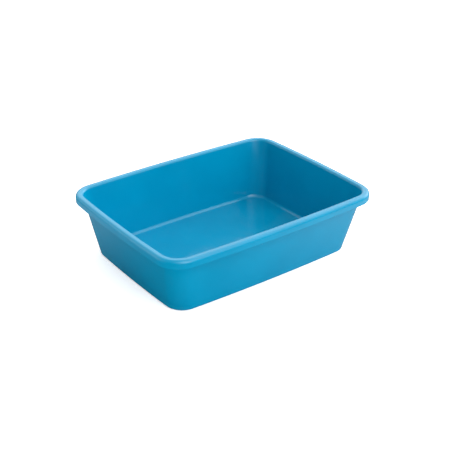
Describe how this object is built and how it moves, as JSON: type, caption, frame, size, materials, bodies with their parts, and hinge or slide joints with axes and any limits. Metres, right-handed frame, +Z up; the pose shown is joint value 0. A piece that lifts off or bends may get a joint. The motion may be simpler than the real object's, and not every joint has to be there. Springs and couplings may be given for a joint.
{
  "type": "open cat litter tray",
  "caption": "Shallow open rectangular tray with a flat floor, flared bowed walls, rounded corners and a rolled rim with a hanging skirt.",
  "frame": {"origin": "middle of the tray's outline, on the surface that the underside rests on", "axes": "+X along the tray's length, +Y across it, +Z up out of its open top"},
  "size_m": [0.42, 0.315, 0.108],
  "materials": {
    "tray": "satin moulded polypropylene, one bright blue right through"
  },
  "bodies": {
    "root": {"tray": "tray"}
  },
  "joints": []
}
